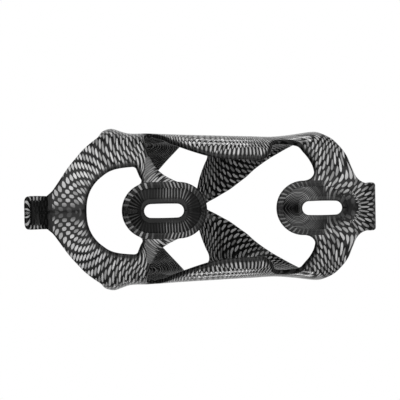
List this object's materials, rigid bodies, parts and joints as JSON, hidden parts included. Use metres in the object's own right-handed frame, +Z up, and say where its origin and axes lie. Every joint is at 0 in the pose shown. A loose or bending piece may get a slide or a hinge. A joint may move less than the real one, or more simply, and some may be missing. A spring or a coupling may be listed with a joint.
{
  "type": "water bottle cage",
  "caption": "Moulded bicycle bottle cage: a collar with a retention tongue, side bands, two front claws, a V-shaped front strap, a lower cradle with a foot, and slotted frame bosses.",
  "frame": {"origin": "midway between the two bolt slots, in the plane of the two lands that touch the bicycle frame", "axes": "+Z up along the bottle towards the retention tongue, +Y out of the back towards the bicycle frame, the open front faces -Y"},
  "size_m": [0.0828, 0.0863, 0.1672],
  "materials": {
    "printed_moulding": "glossy clear coat over a light-on-black woven-look print"
  },
  "bodies": {
    "moulding": {"collar_left": "printed_moulding", "collar_right": "printed_moulding", "strut_left": "printed_moulding", "strut_right": "printed_moulding", "upper_boss": "printed_moulding", "band_left": "printed_moulding", "band_right": "printed_moulding", "strap_left": "printed_moulding", "strap_right": "printed_moulding", "front_bridge": "printed_moulding", "cradle_left": "printed_moulding", "cradle_right": "printed_moulding", "lower_boss": "printed_moulding", "foot": "printed_moulding"},
    "tongue": {"top_tongue": "printed_moulding"},
    "left_claw": {"claw_left": "printed_moulding"},
    "right_claw": {"claw_right": "printed_moulding"}
  },
  "joints": [
    {"name": "tongue_flex", "type": "hinge", "parent": "moulding", "child": "tongue", "pos_m": [0, -0.00575, 0.0895], "axis": [-1, 0, 0], "range_deg": [-2, 6], "stiffness_Nm_per_rad": 1.4},
    {"name": "right_claw_flex", "type": "hinge", "parent": "moulding", "child": "right_claw", "pos_m": [0.03442, -0.0604, 0.045], "axis": [0.0479, 0, 0.9988], "range_deg": [-2, 6], "stiffness_Nm_per_rad": 1.4},
    {"name": "left_claw_flex", "type": "hinge", "parent": "moulding", "child": "left_claw", "pos_m": [-0.03442, -0.0604, 0.045], "axis": [0.0479, 0, -0.9988], "range_deg": [-2, 6], "stiffness_Nm_per_rad": 1.4}
  ]
}
